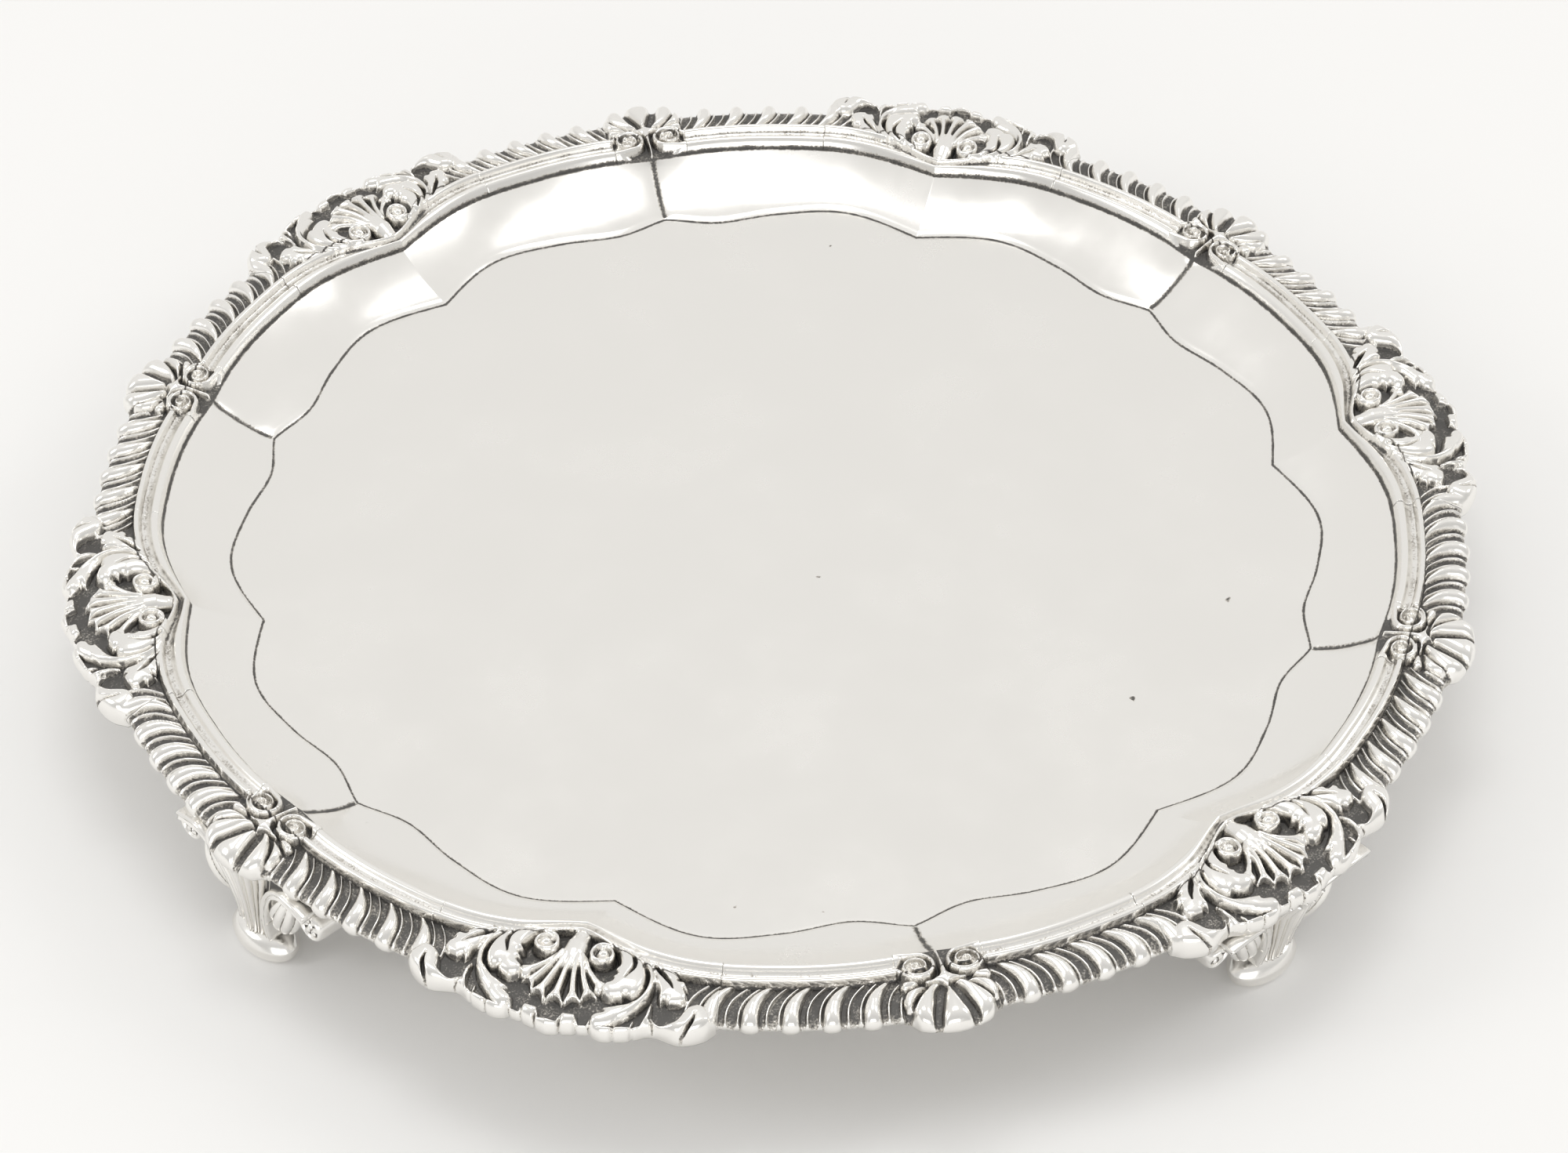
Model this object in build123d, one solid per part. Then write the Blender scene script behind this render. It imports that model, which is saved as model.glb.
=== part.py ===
from build123d import *
import os
from math import atan2, cos, degrees, radians, sin

# A round footed salver: a raised sheet tray with a flat field and a wavy, ogee-edged wall,
# a soldered border of cast shells, leaf castings, gadroon strips and scroll mouldings,
# and four cast bracket feet on oval pads.
# Millimetres.  Origin on the floor under the centre, +Z up.
# Small shells stand at 0, 60, 120 ... degrees and leaf castings at 30, 90, 150 ... degrees.
# The feet stand on the X and Y axes.

# ---------------------------------------------------------------- driving dimensions
SECTORS = 6                  # one small shell and one leaf casting to a sector
SECTOR = 360 / SECTORS       # degrees
HALF = SECTOR / 2            # from a small shell to the leaf casting beside it

FIELD_TOP = 23.8             # height of the flat field above the floor
SHEET = 1.4                  # thickness of the raised sheet
WALL_TOP = 31.8              # height of the crease where the wall meets the border
RIM_TOP = 30.4               # top of the sheet at its outer edge
RIM_UNDER = 29.4             # underside of the sheet at its outer edge
BED_UNDER = 29.0             # castings start here and are cut back to the sheet
LAP_UNDER = 29.5             # their inner rings start here, so that no two faces coincide
LAP = 1.0                    # overlap of a casting's inner ring with its bed
SHEET_RADIUS = 156.0         # outer edge of the sheet
LEDGE_RADIUS = 143.4         # where the sheet starts to slope down under the border
BORE_RADIUS = 132.0          # inside every wall outline, cut back by the hollow of the tray

# wavy outlines: radius at the leaf cusp, at the swell, at the change of curve, at the shell
FIELD_EDGE = (120.0, 126.2, 124.4, 125.3)
WALL_EDGE = (135.8, 140.9, 141.5, 140.2)
SWELL_AT = 8.5               # degrees from the leaf casting
CHANGE_AT = 17.0             # degrees from the leaf casting

STRIP_INNER = 147.2          # joint between moulding and gadroon strip
STRIP_OUTER = 158.1          # outer edge of the gadroon strips
SHELL_HALF_ANGLE = 3.7       # degrees taken by half a small shell
LEAF_HALF_ANGLE = 12.2       # degrees taken by half a leaf casting
GADROONS = 5                 # raised lobes on a strip
GADROON_TOP = 34.6

LOBE_BASE = 32.0             # raised lobes start inside the bed
SHELL_LOBE_TOP = 34.8
SHELL_LOBES = 7
SCROLL_RADIUS = 146.3        # distance of a small shell's scroll from the middle of the tray
SCROLL_SIDE = 5.2            # from the middle of the shell to the scroll's eye
SCROLL_SIZE = 3.4
SCROLL_TOP = 35.6

FEET = 4
PAD_HEIGHT = 6.7
PAD_RADIUS = 153.3           # distance of a pad's centre from the tray's centre
PAD_TANGENTIAL = 9.3         # half length of the pad
PAD_RADIAL = 5.8             # half width of the pad
PAD_FLAT = 0.35              # how much of the bun is cut flat where it stands
ROLL_RADIUS = 3.8            # rolled end of a foot scroll
ROLL_OFFSET = 17.8           # from the middle of the foot to the roll
ROLL_HEIGHT = 18.5
SCROLL_DEPTH = 9.0           # of the foot scrolls, along the radius
SCROLL_GAUGE = 1.8
PANEL_DEPTH = 5.0            # of the fluted panel, along the radius
FOOT_FACE = 156.0            # radius of the outward face of the foot


# ---------------------------------------------------------------- helpers
def polar(radius, angle, z=0.0):
    """A point given by its distance from the middle and its direction in degrees."""
    return Vector(radius * cos(radians(angle)), radius * sin(radians(angle)), z)


def sheet_top(radius):
    """Height of the top of the sheet under the border at a given radius."""
    slope = (RIM_TOP - WALL_TOP) / (SHEET_RADIUS - LEDGE_RADIUS)
    return WALL_TOP + slope * max(0.0, radius - LEDGE_RADIUS)


def wavy_face(edge, z, grow=0.0):
    """Closed wavy outline: inward cusps at the leaf castings, outward points at the shells."""
    cusp, swell, change, point = (radius + grow for radius in edge)
    edges = []
    for k in range(SECTORS):
        middle = HALF + k * SECTOR
        for side in (-1, 1):
            at_cusp = polar(cusp, middle, z)
            at_swell = polar(swell, middle + side * SWELL_AT, z)
            at_change = polar(change, middle + side * CHANGE_AT, z)
            at_point = polar(point, middle + side * HALF, z)
            outer = ThreePointArc(at_cusp, at_swell, at_change)
            inner = TangentArc(at_change, at_point, tangent=outer % 1)
            edges += [outer, inner]
    return make_face(edges)


def ring_part(profile, start, end):
    """A stretch of a turned profile, given as (radius, height) points, between two directions."""
    section = Plane.XZ * make_face(Polyline([*profile, profile[0]]))
    return Rot(0, 0, start) * revolve(section, Axis.Z, end - start)


def lobe(inner, outer, inner_half, outer_half, base, top):
    """A tapering round-ended lobe from one plan point to another."""
    (x0, y0), (x1, y1) = inner, outer
    angle = degrees(atan2(y1 - y0, x1 - x0))
    length = ((x1 - x0) ** 2 + (y1 - y0) ** 2) ** 0.5
    side = Line((0, -inner_half), (length, -outer_half))
    far = ThreePointArc((length, -outer_half), (length + outer_half, 0), (length, outer_half))
    back = Line((length, outer_half), (0, inner_half))
    near = ThreePointArc((0, inner_half), (-inner_half, 0), (0, -inner_half))
    body = extrude(make_face([side, far, back, near]), top - base)
    return Pos(x0, y0, base) * Rot(0, 0, angle) * body


def under_border():
    """Everything below the top of the sheet, which the border pieces are cut back to."""
    return ring_part([(100, 0), (SHEET_RADIUS, 0), (SHEET_RADIUS, RIM_TOP), (LEDGE_RADIUS, WALL_TOP),
                      (100, WALL_TOP)], 0, 360)


def around(solid, angle):
    """A copy of a solid turned about the middle of the tray."""
    return Rot(0, 0, angle) * solid


def write(solid, name):
    """Write one node as its own file."""
    solid.label = name
    export_step(solid, f"parts/{name}.step")


# ---------------------------------------------------------------- tray sheet
def tray_plate():
    hollow = loft([wavy_face(FIELD_EDGE, FIELD_TOP), wavy_face(WALL_EDGE, WALL_TOP)], ruled=True)
    body = loft([wavy_face(FIELD_EDGE, FIELD_TOP - SHEET, SHEET / 2),
                 wavy_face(WALL_EDGE, WALL_TOP, SHEET)], ruled=True)
    ledge = ring_part([(BORE_RADIUS, WALL_TOP), (LEDGE_RADIUS, WALL_TOP), (SHEET_RADIUS, RIM_TOP),
                       (SHEET_RADIUS, RIM_UNDER), (LEDGE_RADIUS, WALL_TOP - SHEET),
                       (BORE_RADIUS, WALL_TOP - SHEET)], 0, 360)
    return body + ledge - hollow


# ---------------------------------------------------------------- border castings
def rim_moulding():
    """Bead, hollow and fillet between a small shell and a leaf casting."""
    profile = [(141.2, WALL_TOP), (141.6, 33.6), (142.6, 34.5), (143.6, 34.3), (144.7, 33.6),
               (145.8, 33.9), (146.2, 34.8), (STRIP_INNER, 34.8), (STRIP_INNER, sheet_top(STRIP_INNER)),
               (LEDGE_RADIUS, WALL_TOP)]
    return ring_part(profile, SHELL_HALF_ANGLE, HALF - LEAF_HALF_ANGLE)


def gadroon_strip(side):
    """Sloping bed with leaning lobes; the lobes lean away from the small shell."""
    bed = ring_part([(STRIP_INNER, sheet_top(STRIP_INNER)), (STRIP_INNER, 32.9), (152.5, 33.2),
                     (156.3, 32.4), (STRIP_OUTER, 31.2), (STRIP_OUTER, RIM_UNDER),
                     (SHEET_RADIUS, RIM_UNDER), (SHEET_RADIUS, RIM_TOP)],
                    SHELL_HALF_ANGLE, HALF - LEAF_HALF_ANGLE)
    pitch = (HALF - LEAF_HALF_ANGLE - SHELL_HALF_ANGLE) / GADROONS
    piece = bed
    for k in range(GADROONS):
        middle = SHELL_HALF_ANGLE + (k + 0.5) * pitch
        start = polar(149.4, middle - 0.45)
        end = polar(154.6, middle + 0.45)
        piece += lobe((start.X, start.Y), (end.X, end.Y), 1.3, 2.0, LOBE_BASE, GADROON_TOP)
    return piece if side > 0 else mirror(piece, Plane.XZ)


def small_shell():
    """Seven-lobed shell under two scrolls, with a neck that reaches in between them."""
    bed = ring_part([(STRIP_INNER, BED_UNDER), (STRIP_INNER, 32.7), (153, 33.0), (158, 32.2),
                     (160.6, 30.8), (160.6, RIM_UNDER), (SHEET_RADIUS, RIM_UNDER), (155, BED_UNDER)],
                    -SHELL_HALF_ANGLE, SHELL_HALF_ANGLE)
    inner = ring_part([(141.4, LAP_UNDER), (141.4, 33.4), (STRIP_INNER + LAP, 33.4),
                       (STRIP_INNER + LAP, LAP_UNDER)],
                      -SHELL_HALF_ANGLE, SHELL_HALF_ANGLE)
    boss = Cylinder(SCROLL_SIZE, SCROLL_TOP - RIM_TOP, align=(Align.CENTER, Align.CENTER, Align.MIN))
    neck = lobe((141.3, 0), (150.0, 0), 1.0, 1.2, RIM_TOP, 35.0)
    collar = lobe((150.4, -3.2), (150.4, 3.2), 1.0, 1.0, RIM_TOP, 35.2)
    bosses = [inner, neck, collar]
    bosses += [Pos(SCROLL_RADIUS, side * SCROLL_SIDE, RIM_TOP) * boss for side in (-1, 1)]
    outermost = SHELL_LOBES // 2
    for k in range(-outermost, outermost + 1):
        reach = 157.6 - 0.55 * k * k
        width = 1.8 - 0.2 * abs(k)
        bosses.append(lobe((151.6, 0.9 * k), (reach, 2.5 * k), 0.7, width, LOBE_BASE, SHELL_LOBE_TOP))
    return bed + bosses - under_border()


def leaf_casting():
    """Large shell between two leaning pairs of leaves, with a stem and two small scrolls."""
    bed = ring_part([(STRIP_INNER, BED_UNDER), (STRIP_INNER, 33.4), (155, 33.6), (161, 32.9),
                     (164.2, 31.6), (164.2, RIM_UNDER), (SHEET_RADIUS, RIM_UNDER), (155, BED_UNDER)],
                    -LEAF_HALF_ANGLE, LEAF_HALF_ANGLE)
    inner = ring_part([(141.4, LAP_UNDER), (141.4, 33.1), (STRIP_INNER + LAP, 33.1),
                       (STRIP_INNER + LAP, LAP_UNDER)],
                      -LEAF_HALF_ANGLE, LEAF_HALF_ANGLE)
    # the point of the casting that follows the wall's cusp inward
    peak = extrude(make_face(Polyline((136.2, 0, 30), (141.4, 9.0, 30), (145, 9.0, 30),
                                      (145, -9.0, 30), (141.4, -9.0, 30), (136.2, 0, 30))), 2.8)
    stem = lobe((138.6, 0), (146.5, 0), 1.3, 1.9, 32.4, 36.1)
    bosses = [inner, peak, stem]
    outermost = SHELL_LOBES // 2
    for k in range(-outermost, outermost + 1):
        reach = 157.5 - 0.35 * k * k
        bosses.append(lobe((147.5, 0.8 * k), (reach, 2.5 * k), 0.6, 1.2, 32.9, 35.4))
    for side in (-1, 1):
        small_scroll = lobe((144.6, side * 6.3), (145.8, side * 6.5), 2.1, 2.2, 32.8, 36.8)
        inner_leaf = lobe((147.0, side * 10.6), (156.0, side * 10.2), 2.2, 3.2, 32.7, 36.4)
        sweeping_leaf = lobe((147.0, side * 16.4), (158.6, side * 13.6), 1.7, 2.8, 32.6, 36.2)
        moulding_leaf = lobe((145.2, side * 18.6), (153.4, side * 21.2), 1.4, 2.5, 32.5, 35.3)
        corner_leaf = lobe((153.2, side * 28.6), (158.4, side * 23.0), 1.8, 2.6, 32.0, 34.8)
        bosses += [small_scroll, inner_leaf, sweeping_leaf, moulding_leaf, corner_leaf]
    return bed + bosses - under_border()


# ---------------------------------------------------------------- feet
def foot_pad():
    """Oval bun, cut flat where it stands and where the bracket is soldered to it."""
    bun = scale(Sphere(1), by=(PAD_RADIAL, PAD_TANGENTIAL, PAD_HEIGHT / 2 + PAD_FLAT))
    bun = Pos(0, 0, PAD_HEIGHT / 2) * bun
    keep = Pos(0, 0, PAD_HEIGHT / 2) * Box(30, 30, PAD_HEIGHT)
    return Pos(PAD_RADIUS, 0, 0) * (bun & keep)


def foot_bracket():
    """Fluted fan panel between two C scrolls that end in rolls with rosettes, a bud inside each."""
    top = RIM_UNDER
    face = Plane(origin=(FOOT_FACE, 0, 0), x_dir=(0, 1, 0), z_dir=(1, 0, 0))
    fan = make_face(Polyline((-4.2, PAD_HEIGHT), (-4.4, 12), (-5.8, 18), (-9.2, top),
                             (9.2, top), (5.8, 18), (4.4, 12), (4.2, PAD_HEIGHT), (-4.2, PAD_HEIGHT)))
    piece = extrude(face * fan, -PANEL_DEPTH)
    for k in range(-2, 3):
        foot = Vector(FOOT_FACE, 1.4 * k, PAD_HEIGHT + 1.0)
        head = Vector(FOOT_FACE, 3.7 * k, top - 1.0)
        axis = Plane(origin=foot, z_dir=head - foot)
        piece += axis * Cylinder(0.8, (head - foot).length, align=(Align.CENTER, Align.CENTER, Align.MIN))
    for side in (-1, 1):
        rise = ThreePointArc((side * 4.7, PAD_HEIGHT - 0.6), (side * 5.2, 15.0), (side * 9.9, 25.0))
        crook = ThreePointArc((side * 9.9, 25.0), (side * 16.2, 27.6), (side * 21.2, 19.5))
        ribbon = trace(rise + crook, SCROLL_GAUGE)
        piece += extrude(face * ribbon, -SCROLL_DEPTH)
        roll = face * Pos(side * ROLL_OFFSET, ROLL_HEIGHT) * Circle(ROLL_RADIUS)
        piece += extrude(roll, -SCROLL_DEPTH)
        piece += face * Pos(side * ROLL_OFFSET, ROLL_HEIGHT) * Cone(ROLL_RADIUS - 0.4, 1.6, 2.0)
        bud = scale(Sphere(1), by=(3.4, 3.8, 7.4))
        piece += Pos(FOOT_FACE - 3.0, side * 10.8, 17.6) * bud
    ledge = Pos(0, 0, top) * Cylinder(200, 20, align=(Align.CENTER, Align.CENTER, Align.MIN))
    pad_room = Cylinder(200, PAD_HEIGHT, align=(Align.CENTER, Align.CENTER, Align.MIN))
    return piece - ledge - pad_room


os.makedirs("parts", exist_ok=True)
write(tray_plate(), "tray_plate")
shell = small_shell()
leaves = leaf_casting()
pad = foot_pad()
bracket = foot_bracket()
moulding = rim_moulding()
mouldings = {1: moulding, -1: mirror(moulding, Plane.XZ)}
strips = {side: gadroon_strip(side) for side in (-1, 1)}
for k in range(SECTORS):
    write(around(shell, k * SECTOR), f"small_shell_{k + 1}")
    write(around(leaves, HALF + k * SECTOR), f"leaf_casting_{k + 1}")
    for side, place in ((-1, 2 * k + 1), (1, 2 * k + 2)):
        write(around(mouldings[side], k * SECTOR), f"rim_moulding_{place:02d}")
        write(around(strips[side], k * SECTOR), f"gadroon_strip_{place:02d}")
for k in range(FEET):
    write(around(pad, k * 360 / FEET), f"foot_pad_{k + 1}")
    write(around(bracket, k * 360 / FEET), f"foot_bracket_{k + 1}")
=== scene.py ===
from math import cos, pi, radians, sin

import bpy
import numpy as np
from mathutils import Matrix, Vector


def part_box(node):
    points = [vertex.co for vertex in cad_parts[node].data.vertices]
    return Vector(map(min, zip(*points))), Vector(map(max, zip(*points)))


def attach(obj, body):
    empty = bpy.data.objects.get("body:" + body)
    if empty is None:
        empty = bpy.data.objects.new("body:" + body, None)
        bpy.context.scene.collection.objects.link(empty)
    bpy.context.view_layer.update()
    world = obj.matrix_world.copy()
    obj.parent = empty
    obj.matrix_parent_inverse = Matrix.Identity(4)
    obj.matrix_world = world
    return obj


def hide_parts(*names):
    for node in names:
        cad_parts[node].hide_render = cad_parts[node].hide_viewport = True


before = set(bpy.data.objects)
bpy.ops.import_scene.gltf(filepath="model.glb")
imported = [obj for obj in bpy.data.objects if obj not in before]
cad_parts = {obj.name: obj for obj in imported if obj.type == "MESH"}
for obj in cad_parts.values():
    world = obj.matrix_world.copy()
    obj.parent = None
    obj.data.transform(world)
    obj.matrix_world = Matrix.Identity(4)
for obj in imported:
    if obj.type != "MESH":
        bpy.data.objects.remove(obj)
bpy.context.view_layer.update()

# A silver salver.  Shapes are worked out in millimetres in the frame's own axes: small shells at
# 0, 60, 120 ... degrees, leaf castings at 30, 90, 150 ... degrees, feet on the X and Y axes.
MM = 0.001
SECTORS = 6
SECTOR = 60                    # degrees from one small shell to the next
HALF = 30.0                    # degrees from a small shell to a leaf casting
SHEET = 1.4                    # thickness of the sheet
FIELD_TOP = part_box("tray_plate")[0][2] / MM + SHEET
WALL_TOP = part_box("tray_plate")[1][2] / MM
RIM_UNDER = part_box("leaf_casting_1")[0][2] / MM
BORDER = 140.0                 # radius from which the q of a border piece is measured outward
ARC = 155.0                    # radius at which a distance along the border is measured
SHELL_SPAN = 10.0              # half a small shell along the border
LEAF_SPAN = 33.0               # half a leaf casting along the border
HALF_ARC = radians(HALF) * ARC


# ---------------------------------------------------------------- curves and fields
def smooth(x, low=0.0, high=1.0):
    """0 below low, 1 above high, with a gentle S between them."""
    u = np.clip((x - low) / (high - low), 0, 1)
    return u * u * (3 - 2 * u)


def curve(points, samples=12):
    """A smooth line through a few points: Catmull-Rom, with the given samples to a span."""
    p = np.array(points, float)
    p = np.vstack([2 * p[0] - p[1], p, 2 * p[-1] - p[-2]])
    out = []
    for a, b, c, d in zip(p[:-3], p[1:-2], p[2:-1], p[3:]):
        for u in np.linspace(0, 1, samples, endpoint=False):
            out.append(0.5 * (2 * b + (c - a) * u + (2 * a - 5 * b + 4 * c - d) * u ** 2
                              + (3 * b - a - 3 * c + d) * u ** 3))
    return np.array(out + [p[-2]])


def along(values, where):
    """A value that runs evenly through the given ones as where goes from 0 to 1."""
    return np.interp(where, np.linspace(0, 1, len(values)), values)


def nearest(line, x, y):
    """For each point: distance to a line, how far along it that is (0 to 1), and the side (+-1)."""
    best = np.full(x.shape, 1e9)
    place = np.zeros(x.shape)
    side = np.ones(x.shape)
    steps = np.hypot(*(line[1:] - line[:-1]).T)
    total = steps.sum()
    start = 0.0
    for (ax, ay), (bx, by), step in zip(line[:-1], line[1:], steps):
        ux, uy = (bx - ax) / step, (by - ay) / step
        s = np.clip((x - ax) * ux + (y - ay) * uy, 0, step)
        dx, dy = x - ax - s * ux, y - ay - s * uy
        d = dx * dx + dy * dy
        closer = d < best
        best = np.where(closer, d, best)
        place = np.where(closer, (start + s) / total, place)
        side = np.where(closer, np.sign(ux * dy - uy * dx), side)
        start += step
    return np.sqrt(best), place, side


def inside(line, x, y):
    """True where a point lies inside a closed line."""
    odd = np.zeros(x.shape, bool)
    ax, ay = line[-1]
    for bx, by in line:
        if by != ay:
            crosses = (by > y) != (ay > y)
            odd ^= crosses & (x < (ax - bx) * (y - by) / (ay - by) + bx)
        ax, ay = bx, by
    return odd


def closed(*stretches):
    """A closed outline of smooth stretches, with a corner where one stretch ends and the next starts."""
    return np.vstack([curve(points, 5)[:-1] for points in stretches])


CROWN = 3.2                    # how far in from its outline a leaf goes on rising


class Relief:
    """Heights of a stretch of border, built up stroke by stroke over a ground.

    t is the distance along the border from the motif's middle and q the radius less BORDER."""

    def __init__(self, t, q, ground):
        self.t, self.q = t, q
        self.ground = ground
        self.rise = np.zeros(t.shape)
        self.stain = np.zeros(t.shape)

    def ridge(self, points, widths, heights, power=0.5):
        """A rounded ridge along a smooth line; widths are half widths."""
        d, place, _ = nearest(curve(points, 6), self.t, self.q)
        x = d / along(widths, place)
        dome = np.clip(1 - x * x, 0, 1) ** power
        self.rise = np.maximum(self.rise, along(heights, place) * dome)

    def button(self, centre, radii, height):
        """A low round dome."""
        x = np.hypot((self.t - centre[0]) / radii[0], (self.q - centre[1]) / radii[1])
        self.rise = np.maximum(self.rise, height * np.sqrt(np.clip(1 - x * x, 0, 1)))

    def blade(self, outline, height, shoulder, tilt=(0, 0, 0, 0)):
        """A crowned leaf that rounds over to its outline; tilt is where it starts and its slopes."""
        t0, q0, slope_t, slope_q = tilt
        d, _, _ = nearest(np.vstack([outline, outline[:1]]), self.t, self.q)
        brink = np.sqrt(1 - np.clip(1 - d / shoulder, 0, 1) ** 2)
        crown = np.sqrt(1 - np.clip(1 - d / CROWN, 0, 1) ** 2)
        top = height + slope_t * (self.t - t0) + slope_q * (self.q - q0)
        body = top * (0.6 * brink + 0.4 * crown)
        self.rise = np.where(inside(outline, self.t, self.q), np.maximum(self.rise, body), self.rise)

    def cut(self, points, widths, depth):
        """A groove along a smooth line, no deeper than the ground."""
        d, place, _ = nearest(curve(points, 6), self.t, self.q)
        x = d / along(widths, place)
        self.rise = np.maximum(self.rise - depth * np.clip(1 - x * x, 0, 1), np.minimum(self.rise, 0.1))

    def height(self):
        return self.ground + self.rise


def spiral(centre, start, end, angle, turns, stretch=1.0):
    """Points of a spiral from one radius to another, from an angle in degrees, clockwise if turns < 0."""
    count = int(abs(turns) * 10) + 1
    out = []
    for u in np.linspace(0, 1, count):
        radius = start + (end - start) * u
        a = radians(angle + 360 * turns * u)
        out.append((centre[0] + stretch * radius * cos(a), centre[1] + radius * sin(a)))
    return out


# ---------------------------------------------------------------- outlines round the tray
EDGE_AT = (0.0, 9.0, 17.0, 24.0, 30.0)               # degrees from a leaf casting to a small shell
FIELD_EDGE = (120.0, 126.2, 124.4, 121.8, 125.3)     # radius of the field there
WALL_EDGE = (135.8, 140.9, 141.5, 141.3, 140.2)      # radius of the top of the wall there


def wavy(edge, angle):
    """Radius of a wavy outline in a direction given in degrees from a leaf casting."""
    a = np.abs((np.asarray(angle, float) + HALF) % (2 * HALF) - HALF)
    line = curve(list(zip(EDGE_AT, edge)), 24)
    return np.interp(a, line[:, 0], line[:, 1])


def crease(t):
    """q of the crease between wall and border, with t from a leaf casting's middle."""
    return wavy(WALL_EDGE, np.degrees(t / ARC)) - BORDER


# ---------------------------------------------------------------- border patterns
GADROON_FIRST = 16.6           # from the small shell's middle to the first lobe
GADROON_PITCH = 8.3
GADROONS = 5                   # lobes in a strip
MOULDING = 6.6                 # width of the bead, hollow and fillet


def ground_height(q):
    """The bed of the border: up from the wall, level, then falling gently outward."""
    return np.interp(q, (-4.5, 1.0, 7.0, 12.0, 18.0, 22.0, 26.0),
                     (31.8, 31.9, 32.3, 32.4, 31.9, 31.6, 31.3))


def moulding(relief, e):
    """Bead, hollow and fillet; e is the distance out from the crease."""
    section = curve([(0.0, 0.0), (0.3, 0.9), (0.9, 2.0), (1.6, 2.45), (2.4, 2.2), (3.0, 1.45), (3.8, 1.0),
                     (4.6, 1.15), (5.0, 1.9), (5.2, 2.55), (5.5, 2.85), (6.1, 2.8), (6.4, 2.2),
                     (MOULDING, 0.0)], 4)
    relief.rise = np.maximum(relief.rise, np.interp(e, section[:, 0], section[:, 1], left=0, right=0))
    for at, width, strength in ((0.0, 0.28, 1.0), (3.9, 0.9, 0.42), (4.75, 0.2, 0.55), (6.75, 0.25, 1.0)):
        relief.stain = np.maximum(relief.stain, strength * np.exp(-((e - at) / width) ** 2))


def lean(q):
    """How far the lobes lean away from a radial line."""
    return -4.5 * np.clip((17.0 - q) / 8.8, 0, 2) ** 2.4


def gadroons(relief, s):
    """Leaning lobes with a pair of fillets between; s is measured from the small shell's middle."""
    q = relief.q
    half = np.interp(q, (8.0, 8.5, 9.5, 11.5, 14.0, 19.0), (0.0, 0.6, 1.1, 1.5, 1.75, 1.8))
    crest = np.interp(q, (8.0, 9.0, 11.0, 13.5, 18.4), (0.6, 1.6, 2.3, 2.6, 2.4))
    fillet = np.interp(q, (7.9, 8.5, 12.0, 18.3), (0.0, 1.1, 1.2, 1.0))
    for k in range(-1, GADROONS + 1):
        middle = GADROON_FIRST + k * GADROON_PITCH + lean(q)
        if 0 <= k < GADROONS:
            x = (s - middle) / np.maximum(half, 1e-3)
            relief.rise = np.maximum(relief.rise, crest * np.sqrt(np.clip(1 - x * x, 0, 1)))
        for offset in (2.45, GADROON_PITCH - 3.3):
            x = (s - middle - offset) / 0.27
            relief.rise = np.maximum(relief.rise, fillet * np.clip(1 - x * x, 0, 1) ** 0.4)


def small_shell_relief(t, q):
    """Seven-lobed shell, collar and neck between the two scrolls that end the mouldings."""
    t = np.abs(t)
    relief = Relief(t, q, ground_height(q))
    e = q - crease(HALF_ARC - t)
    moulding(relief, e)
    eye = np.hypot((t - 5.5) / 4.4, (q - 6.0) / 3.6)
    relief.rise *= smooth(t, 5.0, 9.0) * smooth(eye, 0.86, 1.02)
    relief.button((5.5, 6.0), (4.2, 3.3), 1.5)
    scroll = [(12.0, 2.3), (9.0, 2.3)] + spiral((5.5, 6.0), 3.45, 0.45, -80, -2.15, 1.22)
    relief.ridge(scroll, (0.85, 0.8, 0.72, 0.6, 0.46, 0.42, 0.4, 0.36), (2.6, 2.7, 2.8, 2.8, 2.8, 2.8, 2.8),
                 0.4)
    relief.ridge([(11.0, 6.1), (9.6, 6.9), (7.8, 8.7), (5.4, 9.3), (3.2, 8.9)], (0.5, 0.5, 0.45, 0.4, 0.3),
                 (2.75, 2.8, 2.7))
    relief.ridge([(0, 1.2), (0, 5.0), (0, 9.0)], (0.3, 0.45, 0.9), (1.9, 2.4, 2.6))
    collar = closed([(-3, 5.0), (0.3, 6.4), (1.2, 8.6), (2.9, 9.7), (4.9, 9.9)],
                    [(4.9, 9.9), (4.2, 10.5), (2.4, 10.5), (0.9, 11.0), (0, 12.2)], [(0, 12.2), (-3, 12.2)],
                    [(-3, 12.2), (-3, 5.0)])
    relief.blade(collar, 2.7, 0.6)
    middle = closed([(-5, 11.8), (0, 12.0), (0.9, 13.2), (1.9, 16.0), (2.9, 19.2), (3.2, 21.6)],
                    [(3.2, 21.6), (2.0, 23.4), (0, 24.0), (-5, 24.0)], [(-5, 24.0), (-5, 11.8)])
    second = closed([(1.5, 11.1), (2.8, 13.0), (3.7, 16.0), (4.5, 19.0), (4.8, 21.4)],
                    [(4.8, 21.4), (6.8, 22.2), (8.6, 20.4)],
                    [(8.6, 20.4), (8.6, 17.2), (6.6, 13.8), (3.4, 11.0), (1.5, 11.1)])
    third = closed([(4.2, 10.8), (6.2, 12.6), (7.8, 15.2), (8.6, 17.2)], [(8.6, 17.2), (9.7, 16.6)],
                   [(9.7, 16.6), (10.0, 14.2), (8.9, 12.2), (6.6, 11.3), (4.2, 10.8)])
    bean = closed([(5.6, 10.2), (7.2, 9.4), (9.3, 9.5), (9.9, 10.6), (9.2, 11.7), (7.2, 11.1), (5.6, 10.2)])
    relief.blade(middle, 3.1, 2.0, (0, 12, 0, 0))
    relief.blade(second, 3.0, 1.6)
    relief.blade(third, 2.8, 1.2)
    relief.blade(bean, 2.7, 1.0)
    return relief


LIP_SLOTS = (2.5, 5.6, 8.2, 13.0, 16.6)      # dark slots across the lip of a leaf casting


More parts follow.
